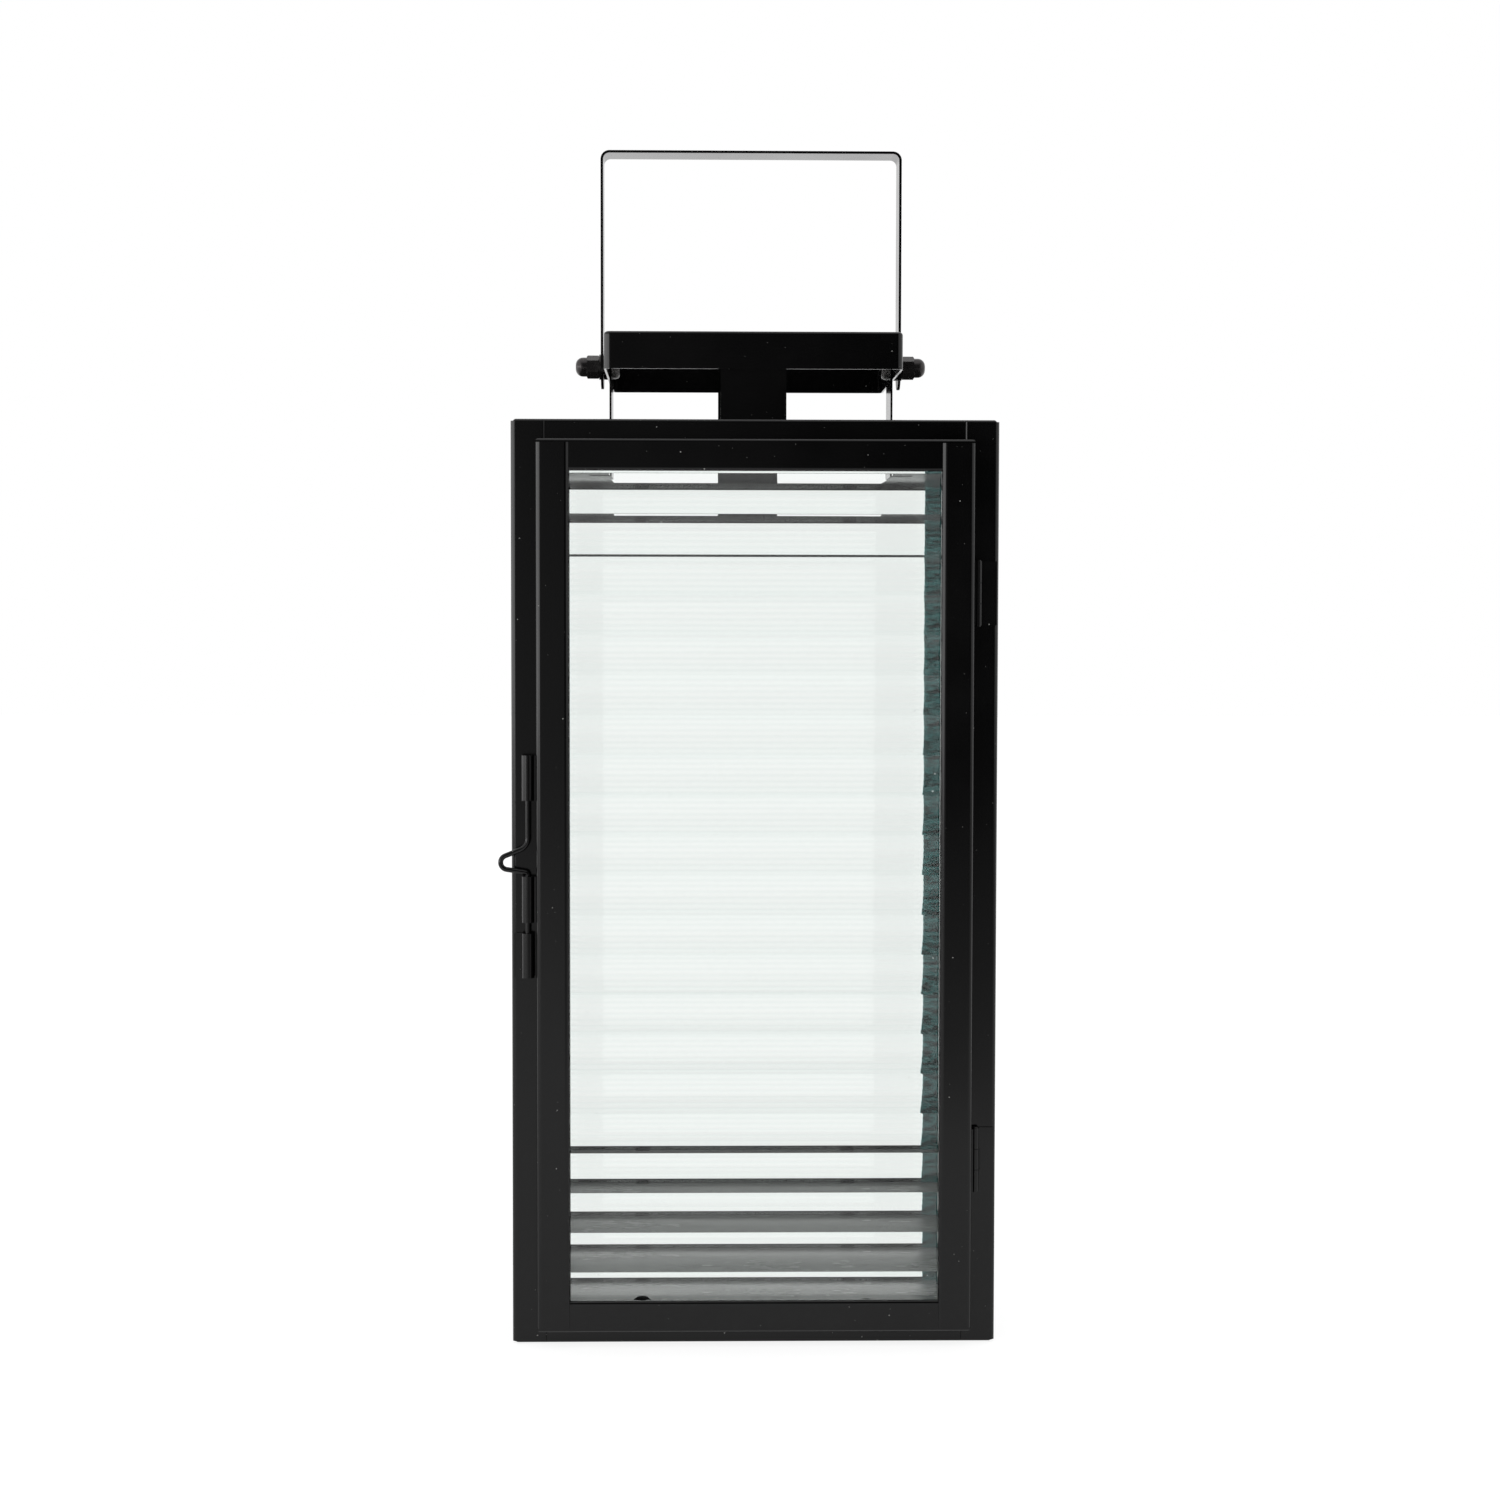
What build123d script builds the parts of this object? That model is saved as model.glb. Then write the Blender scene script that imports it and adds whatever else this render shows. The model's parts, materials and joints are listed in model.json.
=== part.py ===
from build123d import *
import math
import os

# Candle lantern in folded sheet steel and fluted glass. Millimetres, +Z up.
# The origin is the centre of the footprint on the ground, and the door faces -Y.

# Main body
BODY = 180.0  # square plan, outside the corner posts
BODY_HEIGHT = 343.5
SHEET = 0.8
FOLD = 1.2  # outer radius of a tight sheet fold
SOFT_FOLD = 1.9  # outer radius of the posts' and stiles' folds
POST_LEG = 12.6
POST_EDGE = 0.65  # rounding of the posts' free edges
PAN_FLANGE = 11.3
VENT = 112.4  # square opening in the top pan, round the cap's legs

# Raised roof cap
CAP = 113.6
CAP_FLANGE = 14.2
CAP_CORNER = 2.6
CAP_LIFT = 35.5  # cap top above the body
CAP_LEG = 25.0
CAP_FOOT = 8.0

# Glass
GLASS = 3.0
PITCH = 14.78  # from ridge to ridge
FLUTE_RADIUS = 18.0
RIDGE = 0.4  # flat left between two flutes
CLIP = 0.5  # sheet of the glass clips

# Door, laid over the front of the body
DOOR_WIDTH = 161.0
DOOR_BOTTOM = 5.7
DOOR_TOP = 335.9
DOOR_FRONT = 7.2  # its face stands this far in front of the body
DOOR_GAP = 0.2  # between its back edges and the body
STILE = 12.4
RAIL = 11.7
STILE_SHORT = 1.4  # the stiles stop this far from the door's ends
DOOR_RIDGE_Z = 308.7  # one of the door glass's ridges

# Door hinges
HINGE_X = 82.2
HINGE_Y = -91.7
HINGE_HEIGHT = 23.6
HINGE_Z = (69.3, 279.7)
KNUCKLE = 1.4
PIN = 0.7
RUNNING = 0.05  # radial clearance of the pins and nuts
LEAF = 0.6

# Slide latch
LATCH_X = -83.7
LATCH_Y = -92.9
TUBE = 2.3
TUBE_WALL = 0.8
WIRE = 0.95
KEEPER_Z = (137.6, 154.1)
LOWER_GUIDE_Z = (158.1, 175.2)
UPPER_GUIDE_Z = (203.2, 219.9)
BOLT_END = 142.0
BOLT_TOP = 218.9
LOOP_REACH = 10.05  # centre line of the finger loop, to the left of the tubes

# Carrying handle and its bolts
HANDLE = 119.2
HANDLE_TOP = 454.9
STRAP = 1.0
STRAP_WIDTH = 16.0
STRAP_BEND = 3.5
PIVOT_Z = 370.3
BOLT = 2.5
BOLT_LENGTH = 12.2
HEAD = 4.75
HEAD_HEIGHT = 3.0
WASHER = 5.0
NUT_FLATS = 8.0
NUT_HEX = 5.0
NUT_LENGTH = 9.4
DOME = 3.8
DOME_ROUND = 2.9  # rounding of the dome's end

HALF = BODY / 2
PAN_HALF = HALF - SHEET  # the pans sit inside the posts
PANE_FACE = PAN_HALF - SHEET  # the body's panes lie against the pans' flanges
PANE_EDGE = PANE_FACE - GLASS - 0.2
CAP_HALF = CAP / 2
LEG_FACE = CAP_HALF - SHEET  # the cap's legs lie against the inside of its flanges
BOLT_SEAT = LEG_FACE - SHEET
CAP_TOP = BODY_HEIGHT + CAP_LIFT
DOOR_HALF = DOOR_WIDTH / 2
DOOR_Y = -HALF - DOOR_FRONT
DOOR_BACK = -HALF - DOOR_GAP
STILE_BACK = DOOR_Y + SHEET
RAIL_BACK = STILE_BACK + SHEET
DOOR_GLASS_Y = STILE_BACK + 2.0  # plane of the ridges
DOOR_GLASS_BACK = DOOR_GLASS_Y + GLASS
MIDDLE_Z = (DOOR_BOTTOM + DOOR_TOP) / 2


def block(x, y, z):
    """A box from three (low, high) pairs."""
    size = [high - low for low, high in (x, y, z)]
    middle = [(high + low) / 2 for low, high in (x, y, z)]
    return Pos(*middle) * Box(*size)


def upright(sketch, low, high):
    """A sketch drawn in plan, extruded between two heights."""
    return Pos(0, 0, low) * extrude(sketch, high - low)


def plan(points, folds):
    """A face from plan points, rounded where folds maps a point's index to a radius."""
    face = make_face(Polyline(*points, close=True))
    for index, radius in folds.items():
        at = Vector(*points[index])
        corner = face.vertices().sort_by_distance(at)[0]
        face = fillet(corner, radius)
    return face


def along_x(radius, x0, x1, y, z):
    """A cylinder along X between two X values."""
    turned = Rot(0, 90, 0) * Cylinder(radius, x1 - x0)
    return Pos((x0 + x1) / 2, y, z) * turned


def upright_cylinder(radius, x, y, low, high):
    return Pos(x, y, (low + high) / 2) * Cylinder(radius, high - low)


def both_sides(solid):
    return Compound([solid, mirror(solid, about=Plane.YZ)])


def rounded_box(half, height, corner, fold):
    """A square block on the ground with rounded uprights and a rounded lower rim."""
    box = Pos(0, 0, height / 2) * Box(2 * half, 2 * half, height)
    box = fillet(box.edges().filter_by(Axis.Z), corner)
    return fillet(box.faces().sort_by(Axis.Z)[0].edges(), fold)


def pan(half, flange, corner):
    """A square tray of sheet, open at the top."""
    tray = rounded_box(half, flange, corner, FOLD)
    hollow = rounded_box(half - SHEET, flange, corner - SHEET, FOLD - SHEET)
    return tray - Pos(0, 0, SHEET) * hollow


def turned_over(solid, top):
    """A tray turned upside down with its sheet at the given height."""
    return Pos(0, 0, top) * mirror(solid, about=Plane.XY)


# Body shell


def base_pan():
    return pan(PAN_HALF, PAN_FLANGE, FOLD)


def top_pan():
    lid = turned_over(pan(PAN_HALF, PAN_FLANGE, FOLD), BODY_HEIGHT)
    return lid - Pos(0, 0, BODY_HEIGHT) * Box(VENT, VENT, 4 * SHEET)


def corner_post(side, end):
    """An L of sheet round one corner; side and end are +1 or -1."""
    low = HALF - POST_LEG
    corners = [
        (low, HALF),
        (HALF, HALF),
        (HALF, low),
        (PAN_HALF, low),
        (PAN_HALF, PAN_HALF),
        (low, PAN_HALF),
    ]
    folds = {0: POST_EDGE, 1: SOFT_FOLD, 2: POST_EDGE, 4: SOFT_FOLD - SHEET}
    section = plan(corners, folds)
    post = upright(section, SHEET, BODY_HEIGHT - SHEET)
    if side < 0:
        post = mirror(post, about=Plane.YZ)
    if end < 0:
        post = mirror(post, about=Plane.XZ)
    return post


def roof_cap():
    """The cap, with a leg at the middle of each side and a foot under the top pan."""
    cap = turned_over(pan(CAP_HALF, CAP_FLANGE, CAP_CORNER), CAP_TOP)
    foot_top = BODY_HEIGHT - SHEET
    foot_low = foot_top - SHEET
    half_leg = (-CAP_LEG / 2, CAP_LEG / 2)
    leg = block((BOLT_SEAT, LEG_FACE), half_leg, (foot_low, CAP_TOP - 2 * FOLD))
    leg += block((BOLT_SEAT, LEG_FACE + CAP_FOOT), half_leg, (foot_low, foot_top))
    for turn in range(4):
        cap += Rot(0, 0, 90 * turn) * leg
    hole = along_x(BOLT + 2 * RUNNING, -CAP, CAP, 0, PIVOT_Z)
    return cap - hole


# Glass


def fluted_pane(width, low, high, ridge_z):
    """A pane in XZ with its ridges on Y = 0, flutes towards -Y and a flat back."""
    middle = (low + high) / 2
    section = Pos(-GLASS / 2, middle) * Rectangle(GLASS, high - low)
    half_chord = (PITCH - RIDGE) / 2
    centre = math.sqrt(FLUTE_RADIUS**2 - half_chord**2)
    first = math.floor((low - ridge_z) / PITCH)
    last = math.ceil((high - ridge_z) / PITCH)
    for step in range(first, last):
        height = ridge_z + (step + 0.5) * PITCH
        section -= Pos(centre, height) * Circle(FLUTE_RADIUS)
    # The section lies in plan with its height along Y. It is stood up, facing -Y.
    pane = extrude(section, width / 2, both=True)
    stand = Plane(origin=(0, 0, 0), x_dir=(0, -1, 0), z_dir=(-1, 0, 0))
    return stand * pane


def body_pane(turn):
    """One of the body's panes, made for the back and turned into place about Z."""
    high = BODY_HEIGHT - 2 * SHEET
    pane = fluted_pane(2 * PANE_EDGE, SHEET + RUNNING, high, BODY_HEIGHT / 2)
    return Rot(0, 0, turn) * Pos(0, PANE_FACE, 0) * Rot(0, 0, 180) * pane


def clip(length, width, foot):
    """A tongue of thin sheet standing on Z = 0, from Y = 0 back, with a flat foot."""
    radius = width / 2
    straight = length - radius
    outline = Pos(0, straight / 2) * Rectangle(width, straight)
    outline += Pos(0, straight) * Circle(radius)
    tongue = extrude(Plane.XZ * outline, -CLIP)
    return tongue + block((-radius, radius), foot, (0, CLIP))


def body_clips():
    """Clips on the floor and under the roof, two at each end of each body pane."""
    inner_face = PANE_FACE - GLASS
    tongue = Rot(0, 0, 180) * clip(9.0, 6.0, (0, 4.0))
    clips = []
    for turn in (-90, 0, 90):
        for along in (-HALF / 2, HALF / 2):
            low = Rot(0, 0, turn) * Pos(along, inner_face, SHEET) * tongue
            clips += [low, mirror(low, about=Plane.XY.offset(BODY_HEIGHT / 2))]
    return Compound(clips)


# Door


def stile():
    """The right-hand stile: a full leg outside, and a short one towards the glass."""
    inner = DOOR_HALF - STILE
    corners = [
        (inner, DOOR_Y),
        (DOOR_HALF, DOOR_Y),
        (DOOR_HALF, DOOR_BACK),
        (DOOR_HALF - SHEET, DOOR_BACK),
        (DOOR_HALF - SHEET, STILE_BACK),
        (inner + SHEET, STILE_BACK),
        (inner + SHEET, DOOR_GLASS_Y - RUNNING),
        (inner, DOOR_GLASS_Y - RUNNING),
    ]
    inside = SOFT_FOLD - SHEET
    section = plan(corners, {0: SOFT_FOLD, 1: SOFT_FOLD, 4: inside, 5: inside})
    channel = upright(section, DOOR_BOTTOM + STILE_SHORT, DOOR_TOP - STILE_SHORT)
    # The short leg is cut away where the stile lies over the rails.
    short_leg = (inner - 1, inner + SOFT_FOLD)
    behind = (STILE_BACK, DOOR_GLASS_Y + 1)
    for end in (DOOR_BOTTOM + RAIL / 2, DOOR_TOP - RAIL / 2):
        reach = RAIL / 2 + RUNNING
        channel -= block(short_leg, behind, (end - reach, end + reach))
    return channel


def bottom_rail():
    """The lower rail, set back by one sheet behind the stiles' faces."""
    top = DOOR_BOTTOM + RAIL
    tight = FOLD - SHEET
    corners = [
        (STILE_BACK, DOOR_BOTTOM),
        (STILE_BACK, top),
        (DOOR_GLASS_Y - RUNNING, top),
        (DOOR_GLASS_Y - RUNNING, top - SHEET),
        (RAIL_BACK, top - SHEET),
        (RAIL_BACK, DOOR_BOTTOM + SHEET),
        (DOOR_BACK, DOOR_BOTTOM + SHEET),
        (DOOR_BACK, DOOR_BOTTOM),
    ]
    section = plan(corners, {0: FOLD, 1: FOLD, 4: tight, 5: tight})
    end_on = Plane(origin=(0, 0, 0), x_dir=(0, 1, 0), z_dir=(1, 0, 0))
    channel = extrude(end_on * section, DOOR_HALF, both=True)
    outline = Plane.XZ * RectangleRounded(DOOR_WIDTH, DOOR_TOP - DOOR_BOTTOM, FOLD)
    channel &= Pos(0, 0, MIDDLE_Z) * extrude(outline, 2 * BODY, both=True)
    # Above the stiles' lower ends the rail fits between their outer legs and folds.
    stile_end = DOOR_BOTTOM + STILE_SHORT
    beside = (DOOR_HALF - SOFT_FOLD - RUNNING, DOOR_HALF + 1)
    notch = block(beside, (DOOR_Y - 1, -HALF), (stile_end - RUNNING, top + 1))
    return channel - notch - mirror(notch, about=Plane.YZ)


def top_rail():
    return mirror(bottom_rail(), about=Plane.XY.offset(MIDDLE_Z))


def door_glass():
    width = DOOR_WIDTH - 2 * SHEET - 1.8
    low = DOOR_BOTTOM + 2.3
    pane = fluted_pane(width, low, DOOR_TOP - 2.3, DOOR_RIDGE_Z)
    return Pos(0, DOOR_GLASS_Y, 0) * pane


def door_clips():
    """Two clips on each rail and two on each stile, folded over the back of the glass."""
    foot = (-3.5, CLIP)
    middle = Plane.XY.offset(MIDDLE_Z)
    clips = []
    for x, length in ((-41.6, 11.8), (41.6, 10.4)):
        seat = Pos(x, DOOR_GLASS_BACK, DOOR_BOTTOM + SHEET)
        high = mirror(seat * clip(10.4, 8.0, foot), about=middle)
        clips += [seat * clip(length, 8.0, foot), high]
    for z in (MIDDLE_Z - 75, MIDDLE_Z + 75):
        seat = Pos(DOOR_HALF - SHEET, DOOR_GLASS_BACK, z)
        right = seat * Rot(0, -90, 0) * clip(9.5, 8.0, foot)
        clips += [right, mirror(right, about=Plane.YZ)]
    return Compound(clips)


# Hinges


def knuckle(low, high):
    return upright_cylinder(KNUCKLE, HINGE_X, HINGE_Y, low, high)


def pin_hole():
    return upright_cylinder(PIN + RUNNING, HINGE_X, HINGE_Y, 0, BODY_HEIGHT)


def body_hinge(z):
    """The leaf on the front post, with the two outer knuckles."""
    low, high = z - HINGE_HEIGHT / 2, z + HINGE_HEIGHT / 2
    third = HINGE_HEIGHT / 3
    leaf_y = (-HALF - LEAF, -HALF)
    clear = HINGE_X + KNUCKLE + 0.6
    leaf = block((clear, HALF - 0.8), leaf_y, (low, high))
    for start, end in ((low, low + third), (high - third, high)):
        leaf += block((HINGE_X, clear), leaf_y, (start, end))
        leaf += knuckle(start, end)
    return leaf - pin_hole()


def door_hinge(z):
    """The leaf on the stile's side, with the middle knuckle."""
    low, high = z - HINGE_HEIGHT / 2, z + HINGE_HEIGHT / 2
    reach = HINGE_HEIGHT / 6 - 0.2
    leaf_x = (DOOR_HALF, DOOR_HALF + LEAF)
    clear = HINGE_Y - KNUCKLE - 0.4
    leaf = block(leaf_x, (DOOR_Y + SOFT_FOLD + 0.2, clear), (low, high))
    leaf += block(leaf_x, (clear, HINGE_Y), (z - reach, z + reach))
    leaf += knuckle(z - reach, z + reach)
    return leaf - pin_hole()


def hinge_pins():
    """Pins with a shallow head at each end of the knuckles."""
    pins = []
    for z in HINGE_Z:
        low, high = z - HINGE_HEIGHT / 2, z + HINGE_HEIGHT / 2
        pin = upright_cylinder(PIN, HINGE_X, HINGE_Y, low - 0.4, high + 0.4)
        for end in ((low - 0.4, low), (high, high + 0.4)):
            pin += upright_cylinder(PIN + 0.35, HINGE_X, HINGE_Y, *end)
        pins.append(pin)
    return Compound(pins)


# Latch


def rolled_tube():
    """Plan section of a strip rolled into a tube, with the slit where it closes."""
    ring = Circle(TUBE) - Circle(TUBE - TUBE_WALL)
    slit = Rot(0, 0, 35) * Pos(TUBE, 0) * Rectangle(2 * TUBE, 0.3)
    return Pos(LATCH_X, LATCH_Y) * (ring - slit)


def strip(x, y):
    """A rectangle in plan from two (low, high) pairs."""
    middle = Pos((x[0] + x[1]) / 2, (y[0] + y[1]) / 2)
    return middle * Rectangle(x[1] - x[0], y[1] - y[0])


def latch_guide(z):
    """A tube on the door's left side; its strip runs back and along the stile."""
    rear = LATCH_Y + TUBE
    side = -DOOR_HALF
    section = rolled_tube()
    section += strip((LATCH_X, side), (rear - TUBE_WALL, rear))
    section += strip((side - TUBE_WALL, side), (DOOR_Y + 2 * FOLD, rear))
    return upright(section, *z)


def latch_keeper():
    """The tube on the body that the bolt drops into, with a leaf on the front post."""
    leaf = strip((-HALF + 1.0, LATCH_X), (-HALF - TUBE_WALL, -HALF))
    return upright(rolled_tube() + leaf, *KEEPER_Z)


def latch_bolt():
    """A bent wire: its finger loop stands out to the left and rests on the lower guide."""
    loop_x = LATCH_X - LOOP_REACH
    root = LOWER_GUIDE_Z[1]
    line = FilletPolyline(
        (LATCH_X, LATCH_Y, BOLT_TOP),
        (LATCH_X, LATCH_Y, root + 11.0),
        (loop_x, LATCH_Y, root + 6.9),
        (loop_x, LATCH_Y, root + 2.9),
        (LATCH_X, LATCH_Y, root + 1.3),
        (LATCH_X, LATCH_Y, BOLT_END),
        radius=[4.5, 2.55, 2.55, 1.2],
    )
    start = Plane(origin=line @ 0, z_dir=line % 0)
    return sweep(start * Circle(WIRE), path=line)


# Handle


def handle():
    """A flat strap bent into a U, with rounded ends and a hole on the pivot line."""
    half = HANDLE / 2
    end = PIVOT_Z - 0.8  # centre of the rounded ends
    low = end - STRAP_WIDTH / 2
    outer = [(-half, low), (-half, HANDLE_TOP), (half, HANDLE_TOP), (half, low)]
    bend = FilletPolyline(*outer, radius=STRAP_BEND)
    inner = [
        (half - STRAP, low),
        (half - STRAP, HANDLE_TOP - STRAP),
        (STRAP - half, HANDLE_TOP - STRAP),
        (STRAP - half, low),
    ]
    inner_bend = FilletPolyline(*inner, radius=STRAP_BEND - STRAP)
    ends = Line(bend @ 1, inner_bend @ 0) + Line(inner_bend @ 1, bend @ 0)
    section = make_face(bend + inner_bend + ends)
    strap = extrude(Plane.XZ * section, STRAP_WIDTH / 2, both=True)
    keep = along_x(STRAP_WIDTH / 2, -half, half, 0, end)
    keep += block((-half, half), (-STRAP_WIDTH, STRAP_WIDTH), (end, HANDLE_TOP))
    return (strap & keep) - along_x(BOLT + 2 * RUNNING, -HANDLE, HANDLE, 0, PIVOT_Z)


def handle_bolts():
    """Pan-head bolts through the cap's sides, heads inside, with a cross recess."""
    shank = along_x(BOLT, BOLT_SEAT, BOLT_SEAT + BOLT_LENGTH, 0, PIVOT_Z)
    head = along_x(HEAD, BOLT_SEAT - HEAD_HEIGHT, BOLT_SEAT, 0, PIVOT_Z)
    rim = head.edges().filter_by(GeomType.CIRCLE).sort_by(Axis.X)[0]
    head = fillet(rim, 1.8)
    face = Pos(BOLT_SEAT - HEAD_HEIGHT, 0, PIVOT_Z)
    recess = face * (Box(2.4, 4.4, 0.9) + Box(2.4, 0.9, 4.4))
    return both_sides(head + shank - recess)


def ring(x0, x1, outer):
    bore = BOLT + 2 * RUNNING
    return along_x(outer, x0, x1, 0, PIVOT_Z) - along_x(bore, x0, x1, 0, PIVOT_Z)


def handle_spacers():
    """Rings that hold the strap off the cap."""
    return both_sides(ring(CAP_HALF, HANDLE / 2 - STRAP - 0.1, WASHER))


def handle_washers():
    outside = HANDLE / 2 + 0.1
    return both_sides(ring(outside, outside + 0.7, WASHER))


def acorn_nuts():
    """Domed nuts over the bolts' ends, one corner upwards."""
    seat = HANDLE / 2 + 0.8
    hexagon = RegularPolygon(NUT_FLATS / 2, 6, major_radius=False)
    body = extrude(hexagon, NUT_HEX)
    corner = NUT_FLATS / 2 / math.cos(math.pi / 6)
    turned = Pos(0, 0, NUT_HEX / 2) * Cylinder(corner, NUT_HEX)
    body &= chamfer(turned.edges().filter_by(GeomType.CIRCLE), 0.35, 0.6)
    dome = Pos(0, 0, NUT_LENGTH / 2) * Cylinder(DOME, NUT_LENGTH)
    body += fillet(dome.edges().filter_by(GeomType.CIRCLE).sort_by(Axis.Z)[-1], DOME_ROUND)
    depth = BOLT_SEAT + BOLT_LENGTH - seat + 0.3
    body -= Cylinder(BOLT + RUNNING, 2 * depth)
    return both_sides(Pos(seat, 0, PIVOT_Z) * Rot(0, 90, 0) * body)


nodes = {
    "base_pan": base_pan(),
    "top_pan": top_pan(),
    "front_left_post": corner_post(-1, -1),
    "front_right_post": corner_post(1, -1),
    "rear_left_post": corner_post(-1, 1),
    "rear_right_post": corner_post(1, 1),
    "left_glass": body_pane(90),
    "right_glass": body_pane(-90),
    "rear_glass": body_pane(0),
    "body_glass_clips": body_clips(),
    "roof_cap": roof_cap(),
    "handle_bolts": handle_bolts(),
    "handle_spacers": handle_spacers(),
    "handle_washers": handle_washers(),
    "acorn_nuts": acorn_nuts(),
    "lower_hinge_body_leaf": body_hinge(HINGE_Z[0]),
    "upper_hinge_body_leaf": body_hinge(HINGE_Z[1]),
    "hinge_pins": hinge_pins(),
    "latch_keeper": latch_keeper(),
    "door_left_stile": mirror(stile(), about=Plane.YZ),
    "door_right_stile": stile(),
    "door_top_rail": top_rail(),
    "door_bottom_rail": bottom_rail(),
    "door_glass": door_glass(),
    "door_glass_clips": door_clips(),
    "lower_hinge_door_leaf": door_hinge(HINGE_Z[0]),
    "upper_hinge_door_leaf": door_hinge(HINGE_Z[1]),
    "lower_latch_guide": latch_guide(LOWER_GUIDE_Z),
    "upper_latch_guide": latch_guide(UPPER_GUIDE_Z),
    "latch_bolt": latch_bolt(),
    "handle": handle(),
}

os.makedirs("parts", exist_ok=True)
for name, solid in nodes.items():
    export_step(solid, f"parts/{name}.step")
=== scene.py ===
import json
import math
import random

import bmesh
import bpy
from mathutils import Matrix, Vector


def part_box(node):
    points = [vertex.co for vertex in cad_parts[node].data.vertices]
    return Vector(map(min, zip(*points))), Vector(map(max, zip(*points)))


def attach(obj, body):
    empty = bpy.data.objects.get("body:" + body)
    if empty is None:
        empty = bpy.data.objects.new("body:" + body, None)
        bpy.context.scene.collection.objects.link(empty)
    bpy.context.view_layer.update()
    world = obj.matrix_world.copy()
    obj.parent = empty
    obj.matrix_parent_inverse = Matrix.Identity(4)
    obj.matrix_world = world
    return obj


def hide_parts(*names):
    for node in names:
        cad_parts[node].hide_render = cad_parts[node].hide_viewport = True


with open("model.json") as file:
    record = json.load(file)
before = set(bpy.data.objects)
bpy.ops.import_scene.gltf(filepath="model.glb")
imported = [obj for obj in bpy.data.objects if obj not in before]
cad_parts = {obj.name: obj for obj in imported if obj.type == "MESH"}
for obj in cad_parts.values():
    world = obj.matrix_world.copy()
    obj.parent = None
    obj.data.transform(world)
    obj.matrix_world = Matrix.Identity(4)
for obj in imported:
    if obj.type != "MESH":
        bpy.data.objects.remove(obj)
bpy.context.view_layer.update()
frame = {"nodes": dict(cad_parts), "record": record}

MM = 0.001

# Fluted glass, as the panes are made
PITCH = 14.78 * MM
FLUTE_RADIUS = 18.0 * MM
HALF_CHORD = 7.19 * MM
RIDGE_ROUND = 0.22 * MM  # half the width of a rounded ridge
DOOR_RIDGE = 308.7 * MM  # height of one of the door glass's ridges
ARC_STEPS = 30  # steps in height along one flute's arc
CREST_STEPS = 4  # steps in height along half a rounded ridge
PANE_COLUMNS = 14
WAVE_DEPTH = 0.008 * MM  # the slight waves of a pressed surface
WAVE_COUNT = 4
WAVE_SPAN = 0.05

# Colours and finishes
GLASS_TINT = (0.960, 0.967, 0.958)
GLASS_LOSS = (10.0, 1.5, 3.0)  # light lost per metre of glass: red, green, blue
# Painted glow: the opaque green painted on the ends of the panes, in place of light gathering in
# the glass
GLASS_END_PAINTED_GLOW = (0.26, 0.64, 0.64, 1.0)
GLASS_END_FROM = 77.2 * MM  # from the middle of the lantern, where the painted green glow at a pane's end begins
GLASS_END_TO = 77.7 * MM
SHEET_BLACK = (0.0016, 0.0016, 0.0017)
FITTING_BLACK = (0.0026, 0.0026, 0.0027)
PAINT_ROUGH = 0.15
# Pale film on faces that look upwards: dust, and on the floor pan also a painted reflection
DUST_AND_SHEEN_FILM = (0.55, 0.55, 0.54, 1.0)
DUST_GRAIN = (0.22, 0.22, 0.21, 1.0)
EDGE_ROUND = 0.25 * MM  # rounding of painted sheet edges
EDGE_STEPS = 2
EDGE_ANGLE = math.radians(40)  # edges that turn less stay as they are

# The floor and the light
FLOOR_HALF_WIDTH = 4.0
FLOOR_FRONT = -2.2
FLOOR_REAR = 6.0
FLOOR_GLOW = 0.87
FLOOR_GREY = 0.26
LEFT_LIGHT = 3.2
RIGHT_LIGHT = 0.9

# The camera, fitted to the lantern's edges
CAMERA_PLACE = Vector((-0.02257, -1.09188, 0.27261))
CAMERA_YAW = 0.0207
CAMERA_PITCH = -0.0507
CAMERA_ROLL = 0.0017
CAMERA_LENS = 65.15
SENSOR = 36.0


# Node helpers


class Nodes:
    """A short way to build a node tree."""

    def __init__(self, tree):
        self.tree = tree
        tree.nodes.clear()

    def add(self, kind, inputs=None, **settings):
        node = self.tree.nodes.new(kind)
        for key, value in settings.items():
            setattr(node, key, value)
        for key, value in (inputs or {}).items():
            self.feed(node.inputs[key], value)
        return node

    def feed(self, socket, value):
        if isinstance(value, bpy.types.NodeSocket):
            self.tree.links.new(value, socket)
        else:
            socket.default_value = value

    def math(self, operation, first, second=0.0):
        node = self.add("ShaderNodeMath", operation=operation)
        self.feed(node.inputs[0], first)
        self.feed(node.inputs[1], second)
        return node.outputs[0]

    def ramp(self, value, low, high, out_low=0.0, out_high=1.0):
        """A smooth step from out_low to out_high as value goes from low to high."""
        node = self.add("ShaderNodeMapRange", interpolation_type="SMOOTHSTEP")
        for name, number in zip(
            ("Value", "From Min", "From Max", "To Min", "To Max"),
            (value, low, high, out_low, out_high),
        ):
            self.feed(node.inputs[name], number)
        return node.outputs["Result"]

    def noise(self, where, scale, detail, roughness):
        settings = {"Vector": where, "Scale": scale, "Detail": detail}
        settings["Roughness"] = roughness
        return self.add("ShaderNodeTexNoise", settings).outputs["Fac"]

    def mix(self, share, first, second):
        node = self.add("ShaderNodeMix", data_type="RGBA")
        self.feed(node.inputs["Factor"], share)
        self.feed(node.inputs["A"], first)
        self.feed(node.inputs["B"], second)
        return node.outputs["Result"]


def new_material(name):
    material = bpy.data.materials.new(name)
    material.use_nodes = True
    return material, Nodes(material.node_tree)


def specks(n, where, cell, size, share):
    """Scattered grains: 1 inside a grain, 0 elsewhere. cell and size are in metres."""
    cells = n.add("ShaderNodeTexVoronoi", {"Vector": where, "Scale": 1 / cell})
    near = n.math("LESS_THAN", cells.outputs["Distance"], size / cell)
    pick = n.add("ShaderNodeSeparateColor", {"Color": cells.outputs["Color"]})
    return n.math("MULTIPLY", near, n.math("LESS_THAN", pick.outputs["Red"], share))


# Materials


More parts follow.
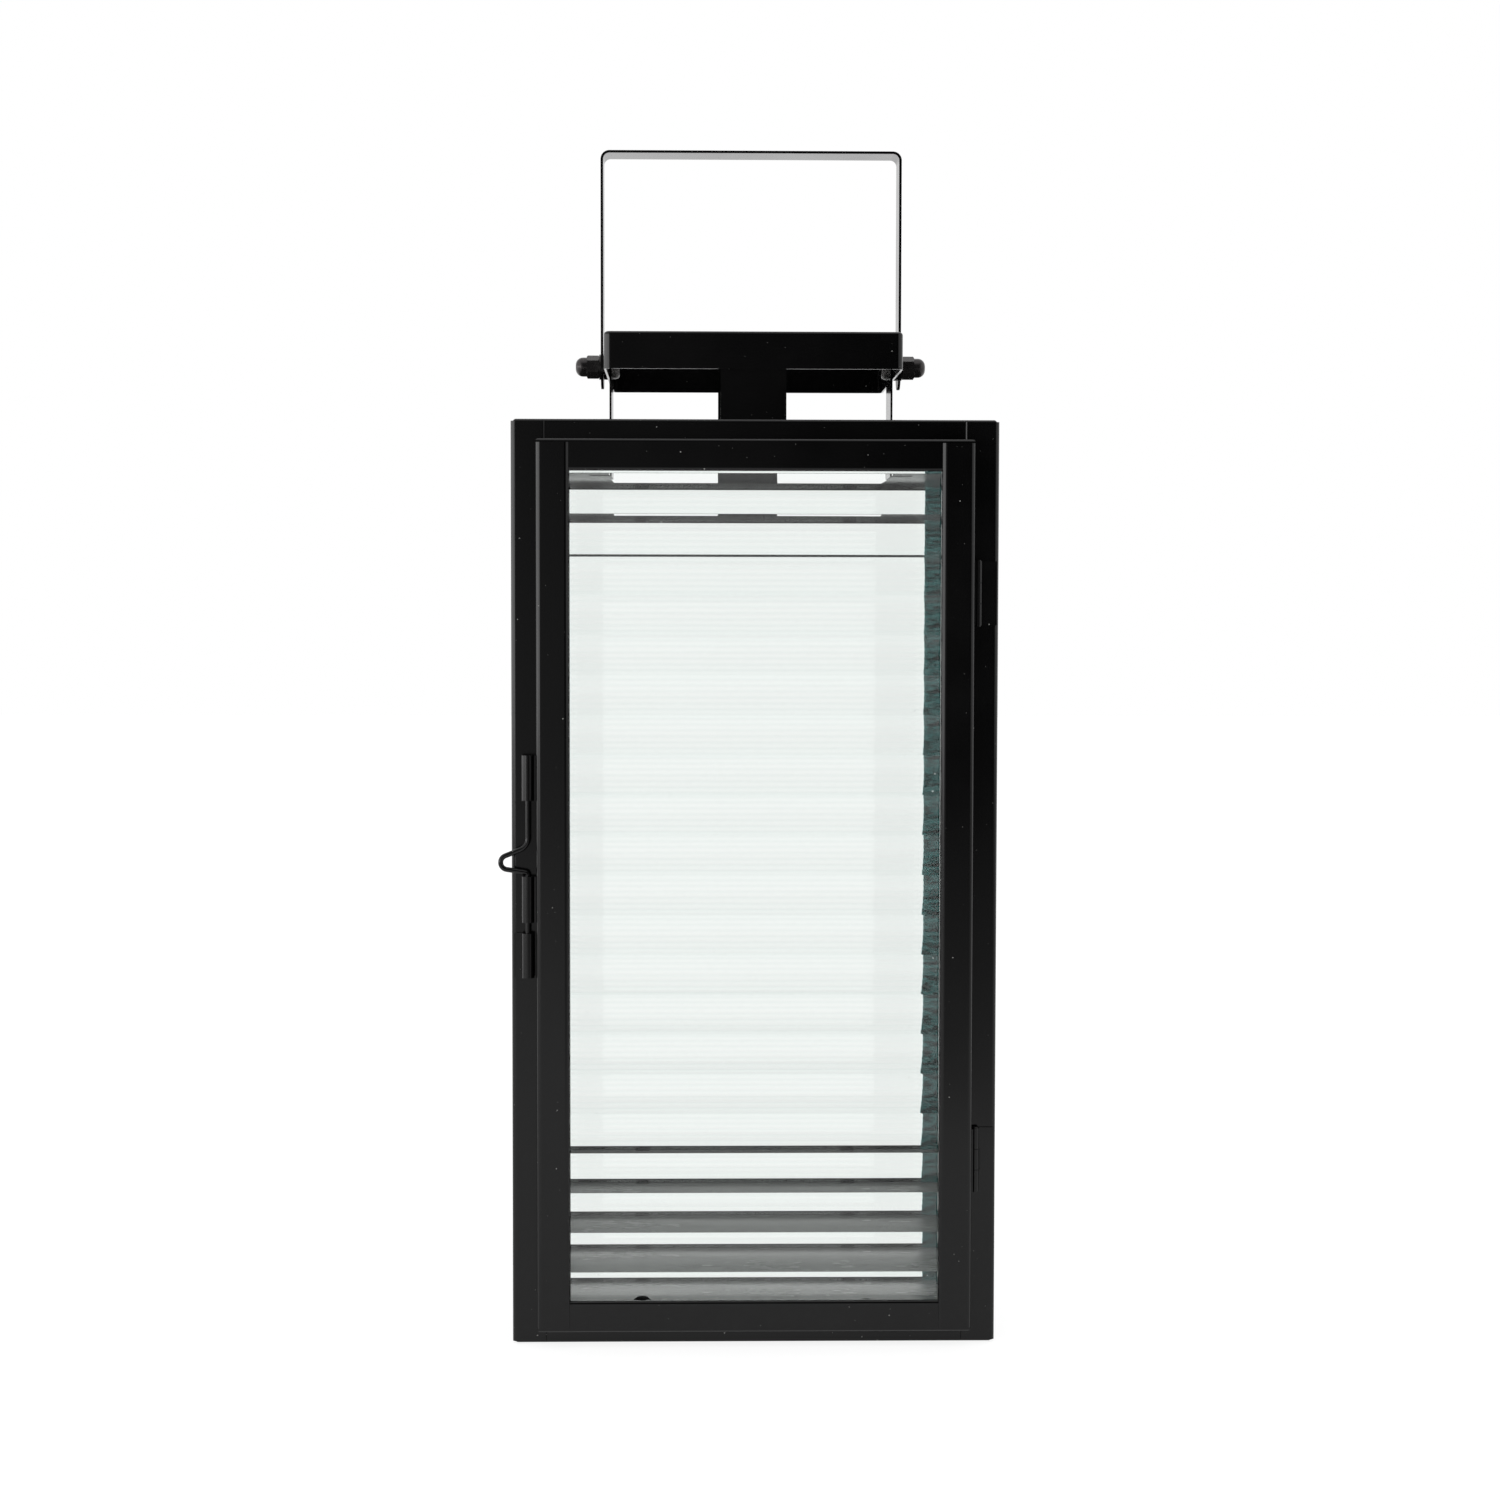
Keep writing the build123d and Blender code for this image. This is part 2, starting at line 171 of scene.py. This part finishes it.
def paint(name, colour, speck_share=0.8, settled_dust_and_sheen=0.02):
    """Black semi-gloss enamel on sheet: faint orange peel, dull patches and pale dust.

    speck_share is the share of places with a grain, and the last argument is how pale a film
    makes faces that look upwards: dust, and where it is strong, as on the floor pan, a painted
    reflection.
    """
    material, n = new_material(name)
    where = n.add("ShaderNodeTexCoord").outputs["Object"]
    patches = n.noise(where, 18.0, 4.0, 0.6)
    streaks = n.noise(where, 140.0, 3.0, 0.6)
    dust = specks(n, where, 6.5 * MM, 0.26 * MM, speck_share)
    fine_dust = specks(n, where, 3.4 * MM, 0.12 * MM, speck_share)
    grains = n.math("MAXIMUM", dust, n.math("MULTIPLY", fine_dust, 0.6))
    dark = [0.7 * part for part in colour] + [1.0]
    light = [1.3 * part for part in colour] + [1.0]
    base = n.mix(patches, dark, light)
    facing = n.add("ShaderNodeSeparateXYZ", {0: n.add("ShaderNodeNewGeometry").outputs["Normal"]})
    # A pale film on faces that look upwards: dust, and at the floor pan's strength also a painted
    # reflection.
    film = n.math("MULTIPLY", n.ramp(facing.outputs[2], 0.6, 0.98), settled_dust_and_sheen)
    film = n.math("MULTIPLY", film, n.ramp(streaks, 0.2, 0.8, 0.9, 1.1))
    base = n.mix(film, base, DUST_AND_SHEEN_FILM)
    base = n.mix(grains, base, DUST_GRAIN)
    dull = n.ramp(patches, 0.35, 0.75, PAINT_ROUGH - 0.02, PAINT_ROUGH + 0.05)
    dull = n.math("ADD", dull, n.math("MULTIPLY", streaks, 0.03))
    dull = n.math("ADD", dull, n.math("MULTIPLY", film, 0.3))
    dull = n.math("MAXIMUM", dull, n.math("MULTIPLY", grains, 0.7))
    peel = n.noise(where, 260.0, 1.0, 0.4)
    waves = n.noise(where, 30.0, 1.0, 0.4)
    height = n.math("ADD", n.math("MULTIPLY", peel, 0.04), n.math("MULTIPLY", waves, 0.5))
    height = n.math("ADD", height, n.math("MULTIPLY", grains, 0.6))
    bump = n.add("ShaderNodeBump", {"Height": height, "Strength": 0.25, "Distance": 0.1 * MM})
    shader = n.add(
        "ShaderNodeBsdfPrincipled",
        {"Base Color": base, "Roughness": dull, "Normal": bump.outputs[0]},
    )
    shader.inputs["IOR"].default_value = 1.5
    shader.inputs["Specular IOR Level"].default_value = 0.40
    out = n.add("ShaderNodeOutputMaterial")
    n.feed(out.inputs["Surface"], shader.outputs[0])
    return material


def black_nickel(name):
    """Dark plating on the nuts and screws, with small scuffs."""
    material, n = new_material(name)
    where = n.add("ShaderNodeTexCoord").outputs["Object"]
    patches = n.noise(where, 220.0, 4.0, 0.6)
    scuffs = n.ramp(n.noise(where, 900.0, 3.0, 0.7), 0.62, 0.72)
    base = n.mix(patches, (0.035, 0.033, 0.033, 1.0), (0.075, 0.070, 0.070, 1.0))
    base = n.mix(n.math("MULTIPLY", scuffs, 0.5), base, (0.20, 0.19, 0.18, 1.0))
    dull = n.math("ADD", n.ramp(patches, 0.3, 0.7, 0.20, 0.32), n.math("MULTIPLY", scuffs, 0.1))
    bump = n.add("ShaderNodeBump", {"Height": patches, "Strength": 0.3, "Distance": 0.05 * MM})
    shader = n.add(
        "ShaderNodeBsdfPrincipled",
        {"Base Color": base, "Roughness": dull, "Normal": bump.outputs[0]},
    )
    shader.inputs["Metallic"].default_value = 0.85
    out = n.add("ShaderNodeOutputMaterial")
    n.feed(out.inputs["Surface"], shader.outputs[0])
    return material


def pressed_glass(name):
    """Pressed glass, clear through, with soft waves, a few bubbles and a painted green glow at the
    pane ends.
    """
    material, n = new_material(name)
    where = n.add("ShaderNodeTexCoord").outputs["Object"]
    drift = n.noise(where, 45.0, 1.0, 0.4)
    grain = n.noise(where, 500.0, 1.0, 0.5)
    bubbles = specks(n, where, 9.0 * MM, 0.35 * MM, 0.6)
    height = n.math("ADD", drift, n.math("MULTIPLY", grain, 0.006))
    height = n.math("ADD", height, n.math("MULTIPLY", bubbles, 0.3))
    bump = n.add("ShaderNodeBump", {"Height": height, "Strength": 0.3, "Distance": 0.04 * MM})
    rough = n.math("MULTIPLY", bubbles, 0.25)
    path = n.add("ShaderNodeLightPath")
    inside = n.add("ShaderNodeNewGeometry").outputs["Backfacing"]
    way = n.math("MULTIPLY", path.outputs["Ray Length"], inside)
    tint = n.add("ShaderNodeCombineColor")
    for channel, body, loss in zip(("Red", "Green", "Blue"), GLASS_TINT, GLASS_LOSS):
        left_over = n.math("EXPONENT", n.math("MULTIPLY", way, -2 * loss))
        n.feed(tint.inputs[channel], n.math("MULTIPLY", left_over, body))
    # Painted glow: the ends of the panes, next to the posts, get an opaque green that stands in
    # for light gathering in the glass there.
    x, y, z = n.add("ShaderNodeSeparateXYZ", {0: where}).outputs
    along = n.math("MINIMUM", n.math("ABSOLUTE", x), n.math("ABSOLUTE", y))
    end = n.ramp(along, GLASS_END_FROM, GLASS_END_TO)
    bands = n.add("ShaderNodeCombineXYZ", {0: along, 2: n.math("MULTIPLY", z, 0.5)})
    streaks = n.noise(bands.outputs[0], 160.0, 3.0, 0.6)
    colour = n.mix(end, tint.outputs[0], GLASS_END_PAINTED_GLOW)
    # How much of the painted green glow takes the place of clear glass at the pane ends
    painted_glow_share = n.math("MULTIPLY", end, n.ramp(streaks, 0.38, 0.62, 0.0, 0.19))
    glass = n.add(
        "ShaderNodeBsdfPrincipled",
        {
            "Base Color": colour,
            "Roughness": rough,
            "Normal": bump.outputs[0],
            "Transmission Weight": n.math("SUBTRACT", 1.0, painted_glow_share),
        },
    )
    glass.inputs["IOR"].default_value = 1.52
    # Shadow and diffuse rays pass straight through, so the glass casts no dark shadow.
    clear = n.add("ShaderNodeBsdfTransparent", {"Color": (0.90, 0.92, 0.91, 1.0)})
    lets_through = n.math(
        "MAXIMUM", path.outputs["Is Shadow Ray"], path.outputs["Is Diffuse Ray"]
    )
    mixed = n.add("ShaderNodeMixShader", {0: lets_through})
    n.feed(mixed.inputs[1], glass.outputs[0])
    n.feed(mixed.inputs[2], clear.outputs[0])
    out = n.add("ShaderNodeOutputMaterial")
    n.feed(out.inputs["Surface"], mixed.outputs[0])
    return material


# Fluted panes


def flute_depth(offset):
    """How far the surface lies behind the ridges' plane, at an offset from a valley."""
    half_pitch = PITCH / 2
    foot = half_pitch - RIDGE_ROUND  # where the rounded ridge meets the flute's arc
    far = math.sqrt(FLUTE_RADIUS**2 - HALF_CHORD**2)
    if abs(offset) <= foot:
        return math.sqrt(FLUTE_RADIUS**2 - offset**2) - far
    at_foot = math.sqrt(FLUTE_RADIUS**2 - foot**2)
    slope = foot / at_foot
    along = half_pitch - abs(offset)
    drop = slope * (RIDGE_ROUND - along**2 / RIDGE_ROUND) / 2
    return at_foot - far - drop


def pane_levels(low, high, ridge):
    """Heights and depths of the fluted side, from the bottom edge to the top one."""
    half_pitch = PITCH / 2
    foot = half_pitch - RIDGE_ROUND
    arc = [foot * (2 * i / ARC_STEPS - 1) for i in range(ARC_STEPS + 1)]
    crest = [half_pitch - RIDGE_ROUND * (1 - i / CREST_STEPS) for i in range(1, CREST_STEPS + 1)]
    offsets = [-c for c in reversed(crest[:-1])] + arc + crest
    first = math.floor((low - ridge) / PITCH)
    last = math.ceil((high - ridge) / PITCH)
    levels = [(low, None)]
    for step in range(first, last):
        valley = ridge + (step + 0.5) * PITCH
        levels += [(valley + o, o) for o in offsets if low < valley + o < high]
    levels.append((high, None))
    out = []
    for z, offset in levels:
        if offset is None:
            offset = (z - ridge) % PITCH - half_pitch
        out.append((z, flute_depth(offset)))
    return out


def fluted_pane(name, node, body, facing, ridge, seed):
    """A pane in the space of a CAD one. facing is the way its flutes look."""
    low, high = (Vector(corner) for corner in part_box(node))
    facing = Vector(facing)
    along = Vector((0, 0, 1)).cross(facing)
    face = max(low.dot(facing), high.dot(facing))
    back = min(low.dot(facing), high.dot(facing))
    left, right = sorted((low.dot(along), high.dot(along)))
    levels = pane_levels(low.z, high.z, ridge)
    rng = random.Random(seed)
    waves = [
        (rng.uniform(8, 30), rng.uniform(0, 6.28), rng.uniform(5, 25)) for _ in range(WAVE_COUNT)
    ]
    verts = []
    for column in range(PANE_COLUMNS + 1):
        across = left + (right - left) * column / PANE_COLUMNS
        for z, depth in levels:
            wave = sum(
                math.sin(sideways * across / WAVE_SPAN + start + upwards * z / WAVE_SPAN)
                for sideways, start, upwards in waves
            )
            sunk = depth + WAVE_DEPTH * (wave / WAVE_COUNT + 1)
            point = along * across + facing * (face - sunk)
            verts.append((point.x, point.y, z))
    rows = len(levels)
    faces = []
    for column in range(PANE_COLUMNS):
        for row in range(rows - 1):
            first = column * rows + row
            faces.append((first, first + rows, first + rows + 1, first + 1))
    front_faces = len(faces)
    corner = len(verts)
    for across in (left, right):
        for z in (low.z, high.z):
            point = along * across + facing * back
            verts.append((point.x, point.y, z))
    bottom_left, top_left, bottom_right, top_right = range(corner, corner + 4)
    faces.append((bottom_left, top_left, top_right, bottom_right))
    last_column = PANE_COLUMNS * rows
    faces.append((bottom_left, *range(0, rows), top_left))
    faces.append((top_right, *reversed(range(last_column, last_column + rows)), bottom_right))
    lower = [column * rows for column in range(PANE_COLUMNS + 1)]
    faces.append((bottom_right, *reversed(lower), bottom_left))
    upper = [column * rows + rows - 1 for column in range(PANE_COLUMNS + 1)]
    faces.append((top_left, *upper, top_right))
    mesh = bpy.data.meshes.new(name)
    mesh.from_pydata(verts, [], faces)
    smooth = [i < front_faces for i in range(len(faces))]
    mesh.polygons.foreach_set("use_smooth", smooth)
    shape = bmesh.new()
    shape.from_mesh(mesh)
    bmesh.ops.recalc_face_normals(shape, faces=shape.faces)
    shape.to_mesh(mesh)
    shape.free()
    mesh.update()
    pane = bpy.data.objects.new(name, mesh)
    bpy.context.scene.collection.objects.link(pane)
    mesh.materials.append(GLASS)
    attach(pane, body)
    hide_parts(node)


GLASS = pressed_glass("pressed_glass")
SHEET_PAINT = paint("sheet_paint", SHEET_BLACK)
FITTING_PAINT = paint("fitting_paint", FITTING_BLACK, speck_share=0.6)
# The floor pan's strong pale film is dust and a painted reflection of the bright background at a
# grazing angle.
FLOOR_PAN_DUST_AND_SHEEN = paint("floor_pan_dust_and_sheen", SHEET_BLACK, settled_dust_and_sheen=0.26)
PLATING = black_nickel("black_nickel")

PAINTS = {
    "black_steel": SHEET_PAINT,
    "black_fittings": FITTING_PAINT,
    "black_hardware": PLATING,
    "black_clips": FITTING_PAINT,
    "fluted_glass": GLASS,
}
for row in frame["record"]["subparts"]:
    mesh = frame["nodes"][row["node"]].data
    mesh.materials.clear()
    mesh.materials.append(PAINTS[row["material_slot"]])
frame["nodes"]["base_pan"].data.materials[0] = FLOOR_PAN_DUST_AND_SHEEN

# Painted sheet edges are a little round, so they catch the light.
for row in frame["record"]["subparts"]:
    if row["material_slot"] in ("black_steel", "black_fittings"):
        round_edges = frame["nodes"][row["node"]].modifiers.new("round_edges", "BEVEL")
        round_edges.width = EDGE_ROUND
        round_edges.segments = EDGE_STEPS
        round_edges.limit_method = "ANGLE"
        round_edges.angle_limit = EDGE_ANGLE

# The body's panes have a ridge at half the height of the body.
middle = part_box("top_pan")[1][2] / 2
fluted_pane("door_pane", "door_glass", "door", (0, -1, 0), DOOR_RIDGE, 1)
fluted_pane("left_pane", "left_glass", "lantern_body", (-1, 0, 0), middle, 2)
fluted_pane("right_pane", "right_glass", "lantern_body", (1, 0, 0), middle, 3)
fluted_pane("rear_pane", "rear_glass", "lantern_body", (0, 1, 0), middle, 4)


# Stage


def lerp(n, share, low, high):
    """low where share is 0, high where it is 1."""
    return n.math("ADD", n.math("MULTIPLY", n.math("SUBTRACT", high, low), share), low)


def floor():
    """A plain pale floor. Most of its light is its own, which keeps the shadow faint.

    Reflections see it fade towards the room in front, sooner on the right. Rays that come
    through the glass see it as white as the world, so that no edge shows between the two.
    """
    mesh = bpy.data.meshes.new("floor")
    corners = [
        (-FLOOR_HALF_WIDTH, FLOOR_FRONT, 0),
        (FLOOR_HALF_WIDTH, FLOOR_FRONT, 0),
        (FLOOR_HALF_WIDTH, FLOOR_REAR, 0),
        (-FLOOR_HALF_WIDTH, FLOOR_REAR, 0),
    ]
    mesh.from_pydata(corners, [], [(0, 1, 2, 3)])
    plane = bpy.data.objects.new("floor", mesh)
    bpy.context.scene.collection.objects.link(plane)
    material, n = new_material("pale_floor")
    place = n.add("ShaderNodeSeparateXYZ", {0: n.add("ShaderNodeNewGeometry").outputs["Position"]})
    x, y, _ = place.outputs
    on_left = n.ramp(y, -1.7, -0.55, 0.30, 0.52)
    on_right = n.math("ADD", n.ramp(y, -0.75, -0.52, 0.0, 0.38), n.ramp(y, -1.7, -0.7, 0.0, 0.10))
    mirrored = lerp(n, n.ramp(x, -0.12, 0.10), on_left, on_right)
    mirrored = n.math("MAXIMUM", mirrored, n.ramp(y, -0.10, 0.2, 0.0, 0.95))
    path = n.add("ShaderNodeLightPath")
    through = path.outputs["Is Transmission Ray"]
    direct = n.math("SUBTRACT", 1.0, through)
    glow = lerp(n, path.outputs["Is Glossy Ray"], FLOOR_GLOW, mirrored)
    glow = lerp(n, through, glow, 1.0)
    grey = n.math("MULTIPLY", direct, FLOOR_GREY)
    colour = n.add("ShaderNodeCombineColor", {0: grey, 1: grey, 2: grey}).outputs[0]
    diffuse = n.add("ShaderNodeBsdfDiffuse", {"Color": colour})
    light = n.add("ShaderNodeEmission", {"Color": (1, 1, 1, 1), "Strength": glow})
    both = n.add("ShaderNodeAddShader")
    n.feed(both.inputs[0], diffuse.outputs[0])
    n.feed(both.inputs[1], light.outputs[0])
    out = n.add("ShaderNodeOutputMaterial")
    n.feed(out.inputs["Surface"], both.outputs[0])
    mesh.materials.append(material)


def studio():
    """White behind, above and at the sides, and a dim room in front, darker on the right.

    The light on the left stands low and towards the front, so that faces which look upwards
    stay black. The camera, and rays that come through the glass, see plain white.
    """
    world = bpy.data.worlds.new("studio")
    bpy.context.scene.world = world
    world.use_nodes = True
    n = Nodes(world.node_tree)
    direction = n.add("ShaderNodeTexCoord").outputs["Generated"]
    split = n.add("ShaderNodeSeparateXYZ", {0: direction})
    x, y, z = split.outputs
    behind = n.ramp(y, -0.25, 0.05)
    above = n.ramp(z, 0.60, 0.95)
    left = n.ramp(x, -0.30, -0.60, 0.0, LEFT_LIGHT)
    left = n.math("MULTIPLY", left, n.ramp(y, 0.1, 0.5, 1.0, 0.3))
    left = n.math("MULTIPLY", left, n.ramp(z, 0.11, 0.18, 1.0, 0.3))
    right = n.ramp(x, 0.50, 0.80, 0.0, RIGHT_LIGHT)
    bright = n.math("MAXIMUM", n.math("MAXIMUM", behind, above), n.math("MAXIMUM", left, right))
    dim_left = n.ramp(z, -0.02, 0.10, 0.30, 0.10)
    dim_right = n.ramp(z, -0.02, 0.10, 0.02, 0.0)
    room = lerp(n, n.ramp(x, -0.08, 0.09), dim_left, dim_right)
    bright = n.math("MAXIMUM", bright, room)
    path = n.add("ShaderNodeLightPath")
    seen = n.math("MAXIMUM", path.outputs["Is Camera Ray"], path.outputs["Is Transmission Ray"])
    strength = lerp(n, seen, bright, 1.0)
    back = n.add("ShaderNodeBackground", {"Color": (1, 1, 1, 1), "Strength": strength})
    out = n.add("ShaderNodeOutputWorld")
    n.feed(out.inputs["Surface"], back.outputs[0])


def camera():
    """A camera that looks along +Y, turned by its yaw, pitch and roll."""
    data = bpy.data.cameras.new("camera")
    data.lens = CAMERA_LENS
    data.sensor_width = SENSOR
    data.clip_start = 0.01
    view = bpy.data.objects.new("camera", data)
    bpy.context.scene.collection.objects.link(view)
    bpy.context.scene.camera = view
    tilt = math.cos(CAMERA_PITCH)
    ahead = Vector(
        (math.sin(CAMERA_YAW) * tilt, math.cos(CAMERA_YAW) * tilt, math.sin(CAMERA_PITCH))
    )
    level = Vector((math.cos(CAMERA_YAW), -math.sin(CAMERA_YAW), 0))
    up = level.cross(ahead)
    turn = Matrix.Rotation(CAMERA_ROLL, 3, -ahead)
    side, up = turn @ level, turn @ up
    rows = Matrix((side, up, -ahead)).transposed()
    view.matrix_world = Matrix.Translation(CAMERA_PLACE) @ rows.to_4x4()


floor()
studio()
camera()

scene = bpy.context.scene
scene.view_settings.view_transform = "Standard"
scene.cycles.max_bounces = 24
scene.cycles.transmission_bounces = 20
scene.cycles.glossy_bounces = 8
scene.cycles.transparent_max_bounces = 24
